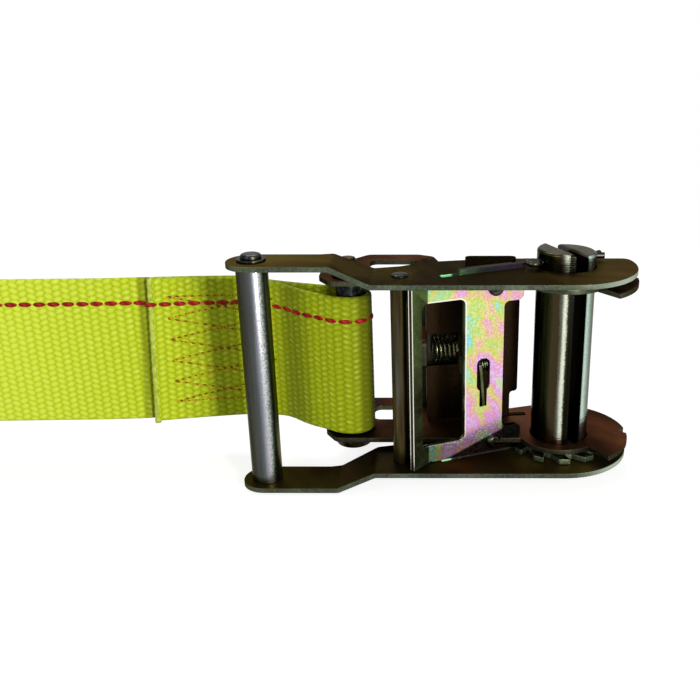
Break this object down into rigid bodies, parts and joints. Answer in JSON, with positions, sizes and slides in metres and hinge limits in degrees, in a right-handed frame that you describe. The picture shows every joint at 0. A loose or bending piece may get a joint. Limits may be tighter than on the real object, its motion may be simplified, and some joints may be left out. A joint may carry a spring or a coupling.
{
  "type": "ratchet tie down",
  "caption": "Ratchet buckle folded shut on the sewn fixed end of a lashing strap, with a swinging handle, sliding pawls, toothed wheels and a slotted spindle.",
  "frame": {"origin": "on the spindle axis, half way between the side plates, in the middle of the webbing slot", "axes": "+X points away from the sewn strap, across the spindle; +Z runs along the spindle towards its cotter pin; -Y is the side that the handle opens towards"},
  "size_m": [0.2223, 0.0498, 0.0762],
  "materials": {
    "base_steel": "yellow-passivated zinc, brown sheen",
    "handle_steel": "yellow-passivated zinc, dark olive sheen",
    "pawl_steel": "iridescent passivated zinc",
    "spindle_steel": "passivated zinc on turned bar",
    "pin_steel": "bright zinc",
    "spring_steel": "spring wire",
    "webbing": "woven polyester webbing, high-visibility yellow-green"
  },
  "bodies": {
    "base": {"base_plate_upper": "base_steel", "base_plate_lower": "base_steel", "base_bridge": "base_steel", "strap_bolt": "pin_steel", "strap_bolt_washer": "pin_steel", "strap_bolt_sleeve": "pin_steel", "lock_spring": "spring_steel"},
    "handle": {"handle_plate_upper": "handle_steel", "handle_plate_lower": "handle_steel", "grip_tube": "pin_steel", "grip_rivet": "pin_steel", "grip_washer": "pin_steel", "spacer_tube": "handle_steel", "spacer_rivet": "pin_steel", "drive_spring_seat": "handle_steel", "drive_spring": "spring_steel"},
    "drive_pawl": {"drive_pawl": "pawl_steel", "pawl_stud_upper": "pawl_steel", "pawl_stud_lower": "pawl_steel"},
    "lock_pawl": {"lock_pawl": "base_steel"},
    "spindle": {"spindle_half_left": "spindle_steel", "spindle_half_right": "spindle_steel", "ratchet_wheel_upper": "spindle_steel", "ratchet_wheel_lower": "spindle_steel", "cotter_pin": "pin_steel"},
    "strap": {"webbing_strap": "webbing"}
  },
  "joints": [
    {"name": "handle_swing", "type": "hinge", "parent": "base", "child": "handle", "pos_m": [0, 0, 0], "axis": [0, 0, 1], "range_deg": [0, 158]},
    {"name": "spindle_spin", "type": "hinge", "parent": "handle", "child": "spindle", "pos_m": [0, 0, 0], "axis": [0, 0, 1], "continuous": true},
    {"name": "drive_pawl_slide", "type": "slide", "parent": "handle", "child": "drive_pawl", "axis": [-0.9252, -0.3795, 0], "range_m": [0, 0.0055], "stiffness_N_per_m": 900, "springref_m": -0.006, "deforming": ["drive_spring"]},
    {"name": "lock_pawl_slide", "type": "slide", "parent": "base", "child": "lock_pawl", "axis": [-0.9877, -0.1564, 0], "range_m": [0, 0.005], "stiffness_N_per_m": 900, "springref_m": -0.006, "deforming": ["lock_spring"]},
    {"name": "strap_swing", "type": "hinge", "parent": "base", "child": "strap", "pos_m": [-0.0675, 0.0024, 0], "axis": [0, 0, 1], "range_deg": [-60, 20]}
  ]
}
